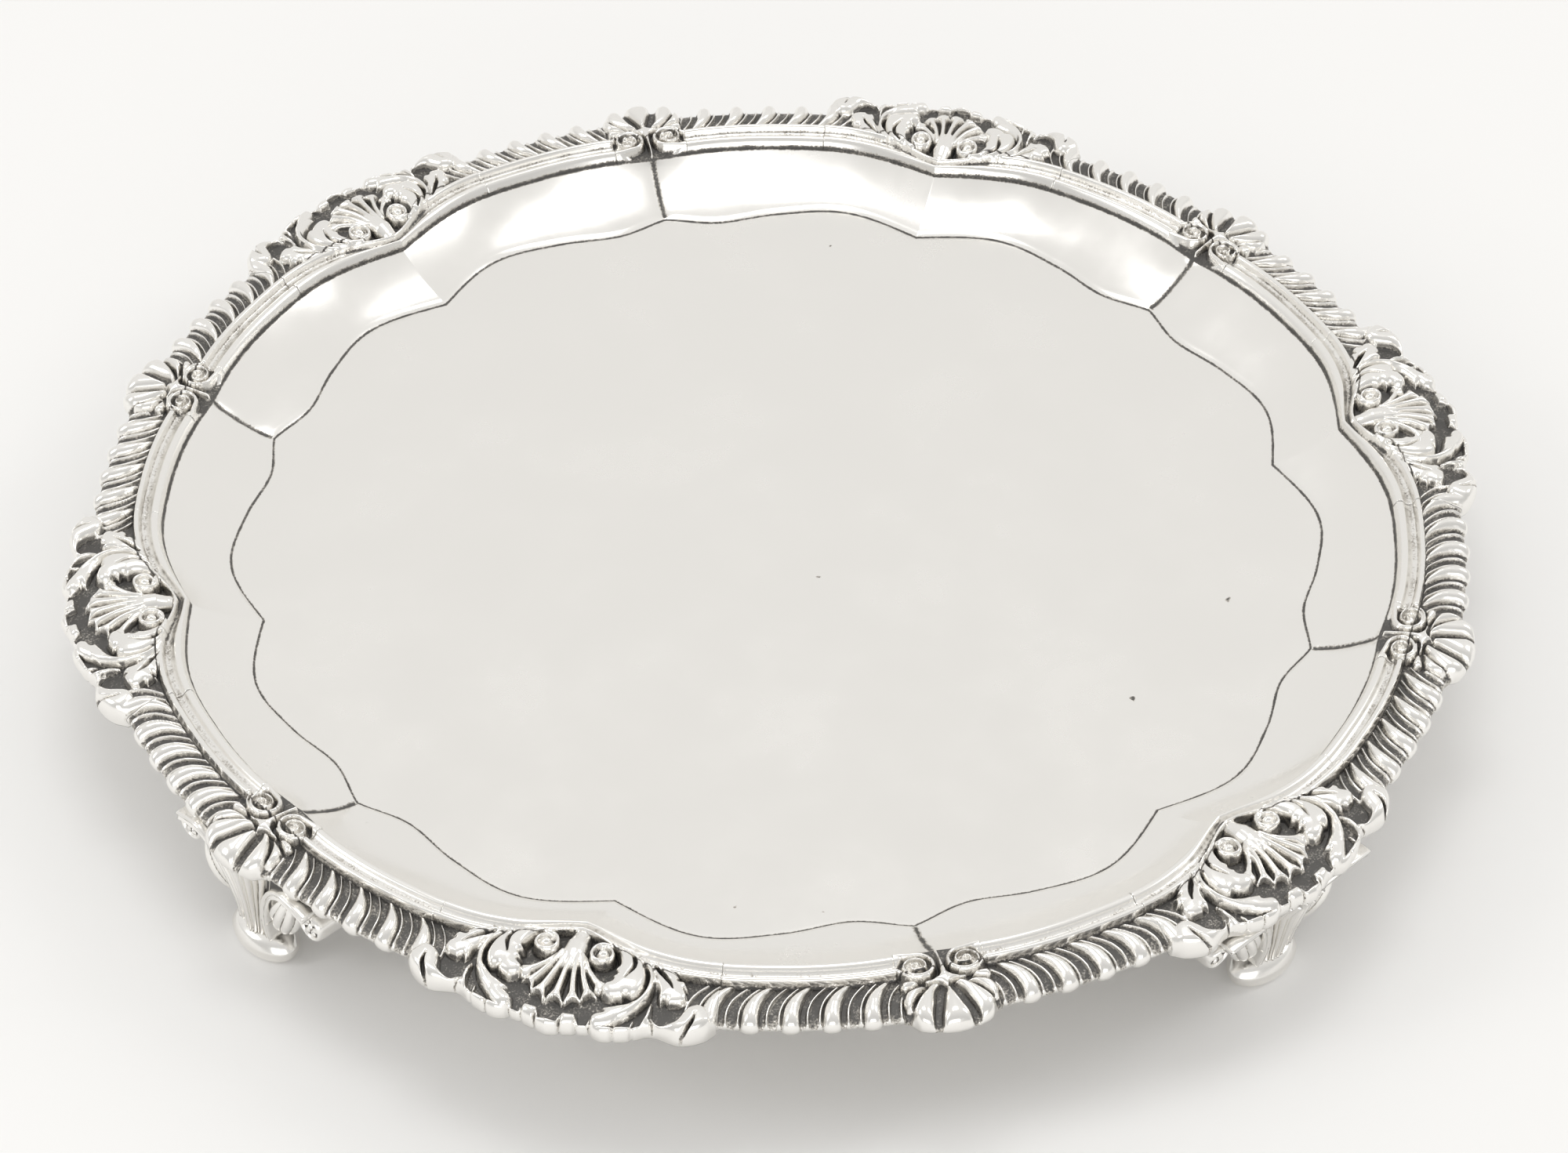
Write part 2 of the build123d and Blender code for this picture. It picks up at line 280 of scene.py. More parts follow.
def leaf_relief(t, q):
    """Big shell between two pairs of leaves, with a stem, two small scrolls and a toothed lip."""
    t = np.abs(t)
    relief = Relief(t, q, ground_height(q) + 0.2)
    e = q - crease(t)
    narrow = 1 - 0.45 * smooth(-t, -16, -2)
    moulding(relief, e / narrow)
    far = np.where(t > 24, HALF_ARC - t, -50)
    gadroons(relief, far)

    # the shell
    relief.ridge([(0, 0.8), (0, 3.0), (0, 5.5), (0, 8.6)], (2.3, 2.8, 2.9, 2.3), (2.8, 3.8, 3.7, 2.9), 0.4)
    ribs = [([(0, 6.0), (0, 12.0), (0, 18.4)], 0.0), ([(1.2, 6.0), (2.1, 12.0), (3.6, 18.0)], 0.0),
            ([(2.3, 6.4), (4.0, 11.5), (6.5, 16.2)], 0.2), ([(2.9, 6.8), (5.1, 10.0), (8.2, 12.9)], 0.9)]
    for points, lower in ribs:
        relief.ridge(points, (0.9, 0.82, 0.76, 0.74, 0.74, 0.8, 0.92, 1.85),
                     (3.3 - lower, 3.1 - lower, 2.8 - lower), 0.35)
    for centre in ((0, 20.2), (4.3, 19.6), (7.5, 17.4)):
        x = np.hypot(t - centre[0], q - centre[1]) / 1.9
        relief.rise = np.where(x < 1, 0, relief.rise)

    # small scrolls
    relief.ridge([(10.4, 3.6), (8.6, 2.4)] + spiral((6.6, 5.3), 2.75, 1.9, -70, -1.15),
                 (0.85, 0.72, 0.65, 0.65, 0.65, 0.4), (3.5, 3.6, 3.7, 3.7, 3.6, 3.4), 0.35)
    relief.button((6.6, 5.3), (2.3, 2.3), 2.8)
    relief.ridge([(6.5, 5.3), (6.7, 5.3)], (1.3, 1.3), (3.8, 3.8), 0.3)

    # leaf beside the shell
    first = closed([(9.2, 3.6), (10.2, 5.6), (10.6, 7.4), (10.0, 8.9)],
                   [(10.0, 8.9), (10.6, 9.9), (9.7, 10.9)],
                   [(9.7, 10.9), (10.1, 11.8), (8.8, 12.8), (8.4, 14.3), (9.4, 15.7), (11.2, 16.2),
                    (13.5, 15.5)],
                   [(13.5, 15.5), (14.0, 14.8), (15.4, 15.0), (16.8, 14.0), (17.5, 12.4)],
                   [(17.5, 12.4), (17.6, 10.2), (17.1, 7.8), (15.8, 5.4), (13.8, 3.6), (11.4, 2.6),
                    (9.2, 3.6)])
    # leaf that sweeps down to the rim
    second = closed([(18.9, 8.0), (17.6, 13.0), (14.9, 15.9), (12.0, 17.3), (9.4, 18.4)],
                    [(9.4, 18.4), (10.0, 19.2)],
                    [(10.0, 19.2), (8.4, 20.1), (7.7, 21.8), (7.8, 24.2)],
                    [(7.8, 24.2), (10.2, 23.6), (13.6, 21.2), (16.8, 17.8), (18.5, 14.0), (19.3, 10.0),
                     (18.9, 8.0)])
    # leaf that lies along the moulding
    third = closed([(15.2, 4.0), (19.0, 4.7), (22.2, 6.3), (24.5, 8.1)],
                   [(24.5, 8.1), (24.2, 8.8), (25.7, 8.9)],
                   [(25.7, 8.9), (26.5, 10.7)], [(26.5, 10.7), (25.9, 11.1), (26.7, 12.6)],
                   [(26.7, 12.6), (26.4, 14.1), (25.0, 15.0), (22.9, 15.3)],
                   [(22.9, 15.3), (22.0, 14.3), (21.2, 15.1)],
                   [(21.2, 15.1), (20.5, 13.8), (20.3, 12.0), (19.4, 10.2), (19.0, 8.4), (17.8, 6.7),
                    (15.2, 4.0)])
    # leaf that curls up at the outer corner
    fourth = closed([(19.4, 15.0), (20.0, 18.2), (21.2, 19.9), (22.9, 20.2), (24.7, 19.2), (25.8, 17.2),
                     (26.9, 15.5), (28.7, 14.6), (30.3, 14.8)],
                    [(30.3, 14.8), (31.6, 16.4), (32.4, 18.6), (32.7, 20.6), (32.4, 24.0), (30.0, 27.0),
                     (22.2, 27.0)],
                    [(22.2, 27.0), (21.5, 23.5), (20.7, 20.9)], [(20.7, 20.9), (19.9, 18.6), (19.4, 15.0)])
    relief.blade(third, 3.3, 0.9, (15, 4, -0.03, 0))
    relief.ridge([(15.3, 4.4), (17.9, 6.9), (19.3, 9.5), (19.8, 11.8)],
                 (0.3, 0.45, 0.4, 0.15), (3.2, 3.1, 2.4, 1.4))
    relief.cut([(18.3, 5.9), (20.5, 8.0), (22.4, 10.2), (23.3, 11.8)], (0.15, 0.6, 0.6, 0.1), 2.2)
    relief.blade(second, 3.3, 1.5, (18, 8, 0, -0.03))
    relief.ridge([(15.2, 4.6), (17.9, 7.8), (18.6, 11.0), (17.9, 14.6), (15.4, 18.0), (11.6, 21.0)],
                 (0.5, 0.65, 0.7, 0.9, 1.2, 0.8), (3.3, 3.5, 3.4, 3.3, 3.0, 2.5))
    relief.blade(first, 4.2, 1.2, (9, 4, 0, -0.03))
    relief.cut([(12.1, 3.8), (13.9, 5.8), (14.3, 8.2), (13.0, 11.4)], (0.12, 0.5, 0.5, 0.08), 2.0)
    relief.blade(fourth, 3.4, 1.5, (26, 15, 0, -0.02))
    relief.button((29.6, 16.2), (1.5, 1.5), 3.0)
    relief.cut([(28.7, 17.6), (28.3, 19.8), (26.9, 21.9), (24.6, 23.7)], (0.1, 0.5, 0.5, 0.1), 2.2)

    # ribs in the hollow under the sweeping leaf
    relief.ridge([(19.4, 15.0), (19.4, 17.6), (19.0, 20.0), (17.9, 22.4), (16.6, 24.2)],
                 (0.12, 0.5, 0.6, 0.65, 0.6), (1.8, 2.4, 2.4, 2.2, 1.8))
    relief.ridge([(16.5, 19.6), (16.4, 21.8), (16.8, 24.4)], (0.1, 0.35, 0.55), (1.2, 1.6, 1.7))

    # toothed lip along the rim
    lip = closed([(-5, 23.2), (1.7, 23.3)], [(1.7, 23.3), (2.4, 21.2)], [(2.4, 21.2), (5.4, 21.0)],
                 [(5.4, 21.0), (6.2, 22.7)], [(6.2, 22.7), (7.9, 22.4)],
                 [(7.9, 22.4), (10.5, 22.6), (14.0, 22.0)], [(14.0, 22.0), (16.6, 21.4)],
                 [(16.6, 21.4), (18.6, 20.4), (19.6, 18.8)],
                 [(19.6, 18.8), (20.4, 20.6), (20.6, 27.0)], [(20.6, 27.0), (20.6, 30), (-5, 30)],
                 [(-5, 30), (-5, 23.2)])
    relief.blade(lip, 2.6, 0.8)
    for at in LIP_SLOTS:
        relief.cut([(at, 22.6), (at, 27.0)], (0.15, 0.42, 0.5), 1.5)
    return relief


# ---------------------------------------------------------------- meshes
def add_mesh(name, points, faces, tarnish_and_shade, material):
    """A smooth-shaded object from points in millimetres, with how dark each point is: tarnish, and painted
    shade in places.
    """
    mesh = bpy.data.meshes.new(name)
    mesh.from_pydata((np.asarray(points) * MM).tolist(), [], faces)
    mesh.update()
    mesh.polygons.foreach_set("use_smooth", [True] * len(mesh.polygons))
    layer = mesh.attributes.new("tarnish_and_shade", "FLOAT", "POINT")
    layer.data.foreach_set("value", np.clip(np.asarray(tarnish_and_shade, float), 0, 1))
    mesh.materials.append(material)
    return bpy.data.objects.new(name, mesh)


def place(piece, node, slot):
    """Shows a piece in place of its CAD node."""
    bpy.context.scene.collection.objects.link(piece)
    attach(piece, "root")
    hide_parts(node)


def turned(piece, name, angle, mirrored=False):
    """The same mesh turned about the middle of the tray, or mirrored first."""
    mesh = piece.data.copy()
    mesh.name = name
    if mirrored:
        mesh.transform(Matrix.Diagonal((1, -1, 1, 1)))
        mesh.flip_normals()
    mesh.transform(Matrix.Rotation(radians(angle), 4, "Z"))
    return bpy.data.objects.new(name, mesh)


def sheet_faces(rows, columns, wrap=False):
    """Quads of a grid of points, row by row; wrap joins the last column to the first."""
    i, j = np.meshgrid(np.arange(rows - 1), np.arange(columns if wrap else columns - 1), indexing="ij")
    k = (j + 1) % columns
    quads = np.stack([i * columns + j, (i + 1) * columns + j, (i + 1) * columns + k, i * columns + k], -1)
    return quads.reshape(-1, 4).tolist()


def blurred(field, size):
    """A field smoothed over so many points each way."""
    reach = int(2.5 * size) + 1
    weight = np.exp(-0.5 * (np.arange(-reach, reach + 1) / size) ** 2)
    weight /= weight.sum()
    for axis in (0, 1):
        wide = np.pad(field, [(reach, reach) if k == axis else (0, 0) for k in (0, 1)], mode="edge")
        rows, columns = field.shape
        total = 0
        for k, w in enumerate(weight):
            total = total + w * (wide[k:k + rows, :] if axis == 0 else wide[:, k:k + columns])
        field = total
    return field


RIM_ROWS = 24                  # rows over the rounding at the rim
SIDE_ROWS = 8                  # rows from the widest part of the rim down to its underside
TUCK = 0.7                     # how far the rim turns in below its widest part


def border_piece(name, middle, pattern, t, rows, q_in, q_out, material, rim=3.2, shear=None, under=0.0):
    """A closed border casting: its patterned top, rounded over at the rim, and a plain back.

    middle is the direction of t = 0 in degrees; q_in and q_out give the edges for each t, rim is how
    far in from the outer edge the rounding starts, shear leans the columns of points, and under is how
    far the rim hangs below the sheet."""
    count = len(t)
    flat = np.linspace(0, 1, rows)[:-1, None]
    turn = np.linspace(0, pi / 2, RIM_ROWS)[:, None]
    grid_q = np.vstack([q_in + flat * (q_out - rim - q_in), q_out - rim * (1 - np.sin(turn))])
    round_off = np.vstack([np.zeros((rows - 1, count)), np.repeat(1 - np.cos(turn), count, 1)])
    grid_t = np.repeat(t[None, :], len(grid_q), 0)
    if shear is not None:
        clear_of_ends = smooth(grid_t, t[0], t[0] + 9) * smooth(-grid_t, -t[-1], -t[-1] + 9)
        grid_t = grid_t + shear(grid_q) * clear_of_ends
    relief = pattern(grid_t, grid_q)
    step = max(t[1] - t[0], (q_out - rim - q_in).mean() / rows)
    high = blurred(relief.height(), 0.1 / step)
    wide, fine = blurred(high, 1.1 / step), blurred(high, 0.35 / step)
    # Darker in the hollows: partly patina, partly painted shade standing in for the shadow in the recesses.
    # The bare ground is dark with patina.
    hollow = 0.65 * smooth(wide - high, 0.15, 1.0) + 0.45 * smooth(fine - high, 0.06, 0.35)
    bare = 0.85 * smooth(0.5 - relief.rise, 0.0, 0.4)
    tarnish_and_shade = np.clip(np.maximum(np.maximum(hollow, bare), relief.stain), 0, 1) * (1 - 0.4 * round_off)
    tarnish_and_shade = blurred(tarnish_and_shade, 0.1 / step)
    z = high - (1.0 + 0.62 * relief.rise) * round_off if rim > 1.5 else high - 1.0 * round_off
    down = np.linspace(0, 1, SIDE_ROWS + 1)[1:, None]
    side_z = z[-1] + (RIM_UNDER - under - z[-1]) * down
    side_q = q_out - TUCK * down ** 2
    inner_z = WALL_TOP - 0.3 if q_in.mean() < 4 else RIM_UNDER + 1.4
    q_all = np.vstack([grid_q, side_q, q_out - 3.5, q_in])
    z_all = np.vstack([z, side_z, np.full(count, RIM_UNDER), np.full(count, inner_z)])
    radius = BORDER + q_all
    below = np.repeat(t[None, :], len(q_all) - len(grid_q), 0)
    angle = radians(middle) + np.vstack([grid_t, below]) / ARC
    points = np.stack([radius * np.cos(angle), radius * np.sin(angle), z_all], -1).reshape(-1, 3)
    total = len(q_all)
    last = (total - 1) * count
    faces = sheet_faces(total, count)
    faces += [[last + j, j, j + 1, last + j + 1] for j in range(count - 1)]
    faces.append([i * count for i in range(total)][::-1])
    faces.append([i * count + count - 1 for i in range(total)])
    shade = np.vstack([tarnish_and_shade, tarnish_and_shade[-1] * (1 - 0.5 * down), np.full((2, count), 0.3)]).ravel()
    return add_mesh(name, points, faces, shade, material)


# ---------------------------------------------------------------- the tray
def tray_columns(per_half=72):
    """Directions round the tray, closer together at the points of the wavy outlines."""
    u = np.arange(per_half) / per_half
    half = HALF * (u - 0.75 * np.sin(2 * pi * u) / (2 * pi))
    return np.concatenate([k * HALF + half for k in range(2 * SECTORS)])


def tray(material):
    """The raised sheet: field, wall, ledge and underside as one closed skin."""
    angle = tray_columns()                       # degrees, 0 at a small shell
    from_leaf = angle + HALF
    field = wavy(FIELD_EDGE, from_leaf)
    wall = wavy(WALL_EDGE, from_leaf)
    to_shell = np.abs((angle + HALF) % (2 * HALF) - HALF) * radians(1) * 130      # mm along the wall
    rows = []                                    # (radius, height, darkness) for each row: dark lines at the field's edge and the wall's top, painted shade along each fold
    flat = np.zeros_like(angle)
    for share in (0.02, 0.15, 0.3, 0.45, 0.6, 0.72, 0.82, 0.9, 0.95):
        rows.append((field * share, flat + FIELD_TOP, flat))
    for gap in (3.0, 2.0, 1.4, 1.0, 0.75, 0.55, 0.4, 0.28, 0.16, 0.06):
        sink = 0.04 * smooth(-gap, -1.2, -0.1)
        rows.append((field - gap, flat + FIELD_TOP - sink, flat + 0.85 * smooth(-gap, -0.65, -0.1)))
    rise = WALL_TOP - FIELD_TOP
    valley = np.exp(-to_shell / 1.6)
    shares = np.concatenate([np.linspace(0, 0.14, 16), np.linspace(0.16, 0.96, 34), np.linspace(0.97, 1, 5)])
    for u in shares:
        out = (wall - field) * u
        bead = 0.75 * (1 - np.clip(1 - out / 1.9, 0, 1) ** 2)
        sweep = (rise - 0.75) * np.clip((u - 0.03) / 0.97, 0, 1) ** 1.5
        fold = valley * smooth(u, 0.0, 0.12) * (1 - smooth(u, 0.9, 1.0))
        dark = np.maximum(0.85 * smooth(-out, -0.45, -0.1), 0.85 * smooth(u, 0.965, 0.995))
        # Painted shade: a dark line down the fold in the wall at each small shell.
        dark = np.maximum(dark, 0.9 * np.exp(-(to_shell / 0.8) ** 2) * smooth(u, 0.01, 0.05))
        rows.append((field + out + 0.3 * fold, FIELD_TOP + bead + sweep - 0.5 * fold, dark))
    ledge = [(150.0, WALL_TOP - 0.6), (155.4, 30.5), (156.0, 30.2), (156.0, 29.6), (155.4, 29.4),
             (150.0, 29.9)]
    rows += [(flat + r, flat + z, flat + 0.2) for r, z in ledge]
    for u in np.linspace(1, 0, 12):
        rows.append((field + (wall - field) * u + SHEET, flat + FIELD_TOP - SHEET + rise * u ** 1.2,
                     flat + 0.1))
    for share in (0.95, 0.7, 0.4, 0.02):
        rows.append((field * share, flat + FIELD_TOP - SHEET, flat + 0.05))
    radius, height, dark = (np.array([row[k] + flat for row in rows]) for k in range(3))
    a = np.radians(angle)[None, :]
    points = np.stack([radius * np.cos(a), radius * np.sin(a), height], -1).reshape(-1, 3)
    count = len(angle)
    faces = sheet_faces(len(rows), count, True)
    last = len(rows) * count
    points = np.vstack([points, [[0, 0, FIELD_TOP], [0, 0, FIELD_TOP - SHEET]]])
    shade = np.concatenate([dark.ravel(), [0, 0]])
    start = (len(rows) - 1) * count
    faces += [[last, j, (j + 1) % count] for j in range(count)]
    faces += [[last + 1, start + (j + 1) % count, start + j] for j in range(count)]
    return add_mesh("tray", points, faces, shade, material)


# ---------------------------------------------------------------- materials
RANGE_SOCKETS = ("From Min", "From Max", "To Min", "To Max")


def silver(name, polish, scratch, flecks=0.0):
    """Polished silver that darkens and roughens with the tarnish_and_shade attribute (tarnish, and painted
    shade in places); flecks are small dark spots.
    """
    material = bpy.data.materials.new(name)
    material.use_nodes = True
    nodes, links = material.node_tree.nodes, material.node_tree.links
    shader = nodes["Principled BSDF"]
    shader.inputs["Metallic"].default_value = 1.0
    where = nodes.new("ShaderNodeTexCoord")
    tarnish_shade_input = nodes.new("ShaderNodeAttribute")
    tarnish_shade_input.attribute_name = "tarnish_and_shade"

    def noise(scale, detail=4.0, rough=0.6):
        node = nodes.new("ShaderNodeTexNoise")
        node.inputs["Scale"].default_value = scale
        node.inputs["Detail"].default_value = detail
        node.inputs["Roughness"].default_value = rough
        links.new(where.outputs["Object"], node.inputs["Vector"])
        return node.outputs["Fac"]

    def maths(operation, a, b=None):
        node = nodes.new("ShaderNodeMath")
        node.operation = operation
        for socket, value in zip(node.inputs, (a, b)):
            if value is not None and hasattr(value, "links"):
                links.new(value, socket)
            elif value is not None:
                socket.default_value = value
        return node.outputs[0]

    def ranged(value, low, high, out_low, out_high):
        node = nodes.new("ShaderNodeMapRange")
        node.interpolation_type = "SMOOTHSTEP"
        links.new(value, node.inputs["Value"])
        for key, number in zip(RANGE_SOCKETS, (low, high, out_low, out_high)):
            node.inputs[key].default_value = number
        return node.outputs["Result"]

    pits = noise(2200.0, 5.0, 0.7)
    cloud = noise(260.0)
    patchy = maths("ADD", tarnish_shade_input.outputs["Fac"], ranged(pits, 0.3, 0.7, -0.22, 0.22))
    patchy = maths("ADD", patchy, ranged(cloud, 0.3, 0.7, -0.12, 0.12))
    if flecks:
        patchy = maths("ADD", patchy, ranged(noise(170.0, 2.0, 0.5), 0.75, 0.82, 0.0, flecks))
    dark = ranged(patchy, 0.28, 0.85, 0.0, 1.0)
    ramp = nodes.new("ShaderNodeValToRGB")
    ramp.color_ramp.elements[0].color = (0.93, 0.915, 0.885, 1)
    ramp.color_ramp.elements[1].color = (0.14, 0.136, 0.131, 1)
    warm = ramp.color_ramp.elements.new(0.4)
    warm.color = (0.55, 0.52, 0.47, 1)
    links.new(dark, ramp.inputs["Fac"])
    links.new(ramp.outputs["Color"], shader.inputs["Base Color"])
    wear = noise(35.0, 6.0, 0.65)
    rough = maths("ADD", ranged(dark, 0.0, 1.0, polish, 0.55), ranged(wear, 0.3, 0.75, 0.0, scratch))
    links.new(rough, shader.inputs["Roughness"])
    bump = nodes.new("ShaderNodeBump")
    bump.inputs["Strength"].default_value = 0.35
    bump.inputs["Distance"].default_value = 0.00012
    links.new(maths("MULTIPLY", pits, dark), bump.inputs["Height"])
    links.new(bump.outputs["Normal"], shader.inputs["Normal"])
    return material


# ---------------------------------------------------------------- border pieces
def leaf_castings(material):
    t = np.linspace(-LEAF_SPAN, LEAF_SPAN, 401)
    edge = curve([(0, 25.0), (4.6, 23.7), (7.9, 23.1), (11, 24.0), (16, 22.8), (20.2, 20.9), (25.8, 22.4),
                  (30.4, 20.9), (33, 18.3)], 16)
    q_out = np.interp(np.abs(t), edge[:, 0], edge[:, 1])
    for at in LIP_SLOTS:
        q_out -= 0.5 * np.exp(-((np.abs(t) - at) / 0.4) ** 2)
    first = border_piece("leaf_casting", HALF, leaf_relief, t, 150, crease(t), q_out, material, 2.0,
                         under=0.6)
    for k in range(SECTORS):
        place(turned(first, f"leaves_{k + 1}", SECTOR * k), f"leaf_casting_{k + 1}", "border_silver")


def small_shells(material):
    t = np.linspace(-SHELL_SPAN, SHELL_SPAN, 141)
    edge = curve([(0, 21.8), (2.4, 21.5), (3.6, 20.9), (5.0, 20.9), (7.2, 20.2), (8.6, 18.6),
                  (SHELL_SPAN, 17.6)], 12)
    q_out = np.interp(np.abs(t), edge[:, 0], edge[:, 1])
    q_in = crease(HALF_ARC - np.abs(t))
    first = border_piece("small_shell", 0.0, small_shell_relief, t, 150, q_in, q_out, material)
    for k in range(SECTORS):
        place(turned(first, f"shell_{k + 1}", SECTOR * k), f"small_shell_{k + 1}", "border_silver")


def strip_relief(t, q):
    relief = Relief(t, q, ground_height(q))
    gadroons(relief, t)
    return relief


def moulding_relief(t, q):
    relief = Relief(t, q, ground_height(q))
    moulding(relief, q - crease(HALF_ARC - t))
    return relief


def strips(material):
    t = np.linspace(SHELL_SPAN, HALF_ARC - LEAF_SPAN, 281)
    seam = crease(HALF_ARC - t) + MOULDING
    lobe = ((t - GADROON_FIRST + GADROON_PITCH / 2) % GADROON_PITCH - GADROON_PITCH / 2) / 1.9
    q_out = 17.4 + 1.0 * np.sqrt(np.clip(1 - lobe ** 2, 0, 1))
    gadroon = border_piece("gadroons", 0.0, strip_relief, t, 60, seam, q_out, material, shear=lean)
    t = np.linspace(SHELL_SPAN, HALF_ARC - LEAF_SPAN, 81)
    q_in = crease(HALF_ARC - t)
    bar = border_piece("moulding", 0.0, moulding_relief, t, 56, q_in, q_in + 7.2, material, 0.6)
    for k in range(SECTORS):
        for mirrored, n in ((True, 2 * k + 1), (False, 2 * k + 2)):
            angle = SECTOR * k
            place(turned(gadroon, f"gadroons_{n:02d}", angle, mirrored), f"gadroon_strip_{n:02d}",
                  "border_silver")
            place(turned(bar, f"moulding_{n:02d}", angle, mirrored), f"rim_moulding_{n:02d}", "border_silver")


# ---------------------------------------------------------------- feet
# Worked out for a foot on the +X axis: y runs along the border, z up, and x outward.
FOOT_TOP = RIM_UNDER + 0.2
PAD_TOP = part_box("foot_pad_1")[1][2] / MM
PAD_RADIUS = 152.3
PAD_SIZE = (5.8, 9.3)          # half sizes, along the radius and along the border
FAN_FLUTES = 5
ROLL_AT = (20.6, 22.2)         # middle of the rolled end of a foot scroll
ROLL_SIZE = 3.7
SCROLL_DEPTH = 8.5


def foot_face(z):
    """Distance out of the face of a foot at a height."""
    return 154.4 + 0.12 * (z - PAD_TOP)


class Shells:
    """Closed skins that together make one piece."""

    def __init__(self):
        self.points, self.faces, self.shade = [], [], []
        self.count = 0

    def add(self, points, faces, shade):
        points = np.asarray(points, float).reshape(-1, 3)
        self.faces += [[i + self.count for i in face] for face in faces]
        self.points.append(points)
        self.shade.append(np.broadcast_to(np.asarray(shade, float).ravel(), (len(points),)))
        self.count += len(points)

    def slab(self, front, back, shade):
        """A closed skin between two grids of points with the same rows and columns."""
        rows, columns = front.shape[:2]
        half = rows * columns
        faces = sheet_faces(rows, columns)
        faces += [[i + half for i in face][::-1] for face in faces]
        rim = list(range(columns)) + [i * columns + columns - 1 for i in range(1, rows)]
        rim += [(rows - 1) * columns + j for j in range(columns - 2, -1, -1)]
        rim += [i * columns for i in range(rows - 2, 0, -1)]
        faces += [[a, b, b + half, a + half] for a, b in zip(rim, rim[1:] + rim[:1])]
        dim = np.full(rows * columns, 0.3)
        self.add(np.vstack([front.reshape(-1, 3), back.reshape(-1, 3)]), faces,
                 np.concatenate([np.asarray(shade, float).ravel(), dim]))

    def turned_body(self, rings, shade):
        """A closed skin through rings of points, drawn together to a point at each end."""
        rings = np.asarray(rings, float)
        count, around = rings.shape[:2]
        faces = sheet_faces(count, around, True)
        ends = [rings[0].mean(0), rings[-1].mean(0)]
        top, bottom = count * around, count * around + 1
        last = (count - 1) * around
        faces += [[top, j, (j + 1) % around] for j in range(around)]
        faces += [[bottom, last + (j + 1) % around, last + j] for j in range(around)]
        shade = np.asarray(shade, float)
        self.add(np.vstack([rings.reshape(-1, 3), ends]), faces,
                 np.concatenate([shade.ravel(), [shade[0, 0], shade[-1, 0]]]))


def wound(rings, side):
    """Rings in the order that winds their faces alike on both sides of the foot."""
    rings = np.array(rings)
    return rings if side < 0 else rings[:, ::-1]


def fan(body):
    """Fluted fan under the rim, narrowing to the pad."""
    s, v = np.meshgrid(np.linspace(-1, 1, 169), np.linspace(0, 1, 60))
    z = PAD_TOP - 0.6 + (FOOT_TOP - PAD_TOP + 0.6) * v
    width = np.interp(v, (0, 0.25, 0.5, 0.8, 1), (3.4, 3.9, 5.3, 7.8, 9.2))
    middle = 156.2 + 3.2 * v ** 1.6
    wrap = np.interp(v, (0, 1), (1.4, 3.6)) * s ** 2
    f = (s + 1) / 2 * FAN_FLUTES % 1
    reed = 1.3 * np.sqrt(np.clip(1 - ((f - 0.5) / 0.22) ** 2, 0, 1))
    edge = np.minimum(f, 1 - f)
    rib = 1.1 * np.sqrt(np.clip(1 - (edge / 0.09) ** 2, 0, 1))
    rise = np.maximum(reed, rib)
    scale = np.interp(v, (0, 1), (0.9, 1.4))
    x = middle - wrap + (rise - 1.0) * scale
    front = np.stack([x, s * width, z], -1)
    back = np.stack([foot_face(z) - 4.5, s * width * 0.9, z], -1)
    dark = 1.05 * smooth(0.7 - rise, 0, 0.5) + 0.5 * smooth(-v, -0.06, 0)
    body.slab(front, back, dark)


def ribbon(body, side):
    """C scroll: a flat band with raised edges that springs from the pad and ends in a roll."""
    t, z = ROLL_AT
    path = curve([(4.7, PAD_TOP - 0.8), (4.5, 10.5), (5.2, 15.0), (7.0, 20.3), (9.9, 25.0), (13.6, 27.6),
                  (17.4, 27.4), (t + 1.0, z + ROLL_SIZE + 0.4)], 10)
    step = np.gradient(path, axis=0)
    step /= np.hypot(*step.T)[:, None]
    across = np.stack([-step[:, 1], step[:, 0]], -1)
    section = [(-1.05, -0.25), (-0.9, 0.3), (-0.65, 0.42), (-0.42, 0.1), (0.0, 0.0), (0.42, 0.1),
               (0.65, 0.42), (0.9, 0.3), (1.05, -0.25), (1.05, -SCROLL_DEPTH), (-1.05, -SCROLL_DEPTH)]
    rings = []
    for point, normal in zip(path, across):
        swell = 1.0 if point[1] > 12 else 0.8
        rings.append([(foot_face(point[1]) + out + 0.5, side * (point[0] + a * normal[0] * swell),
                       point[1] + a * normal[1] * swell) for a, out in section])
    rings = wound(rings, side)
    off_band = np.abs(rings[:, :, 0] - foot_face(rings[:, :, 2]) - 0.5)
    body.turned_body(rings, np.where(off_band < 0.05, 0.5, 0.05))


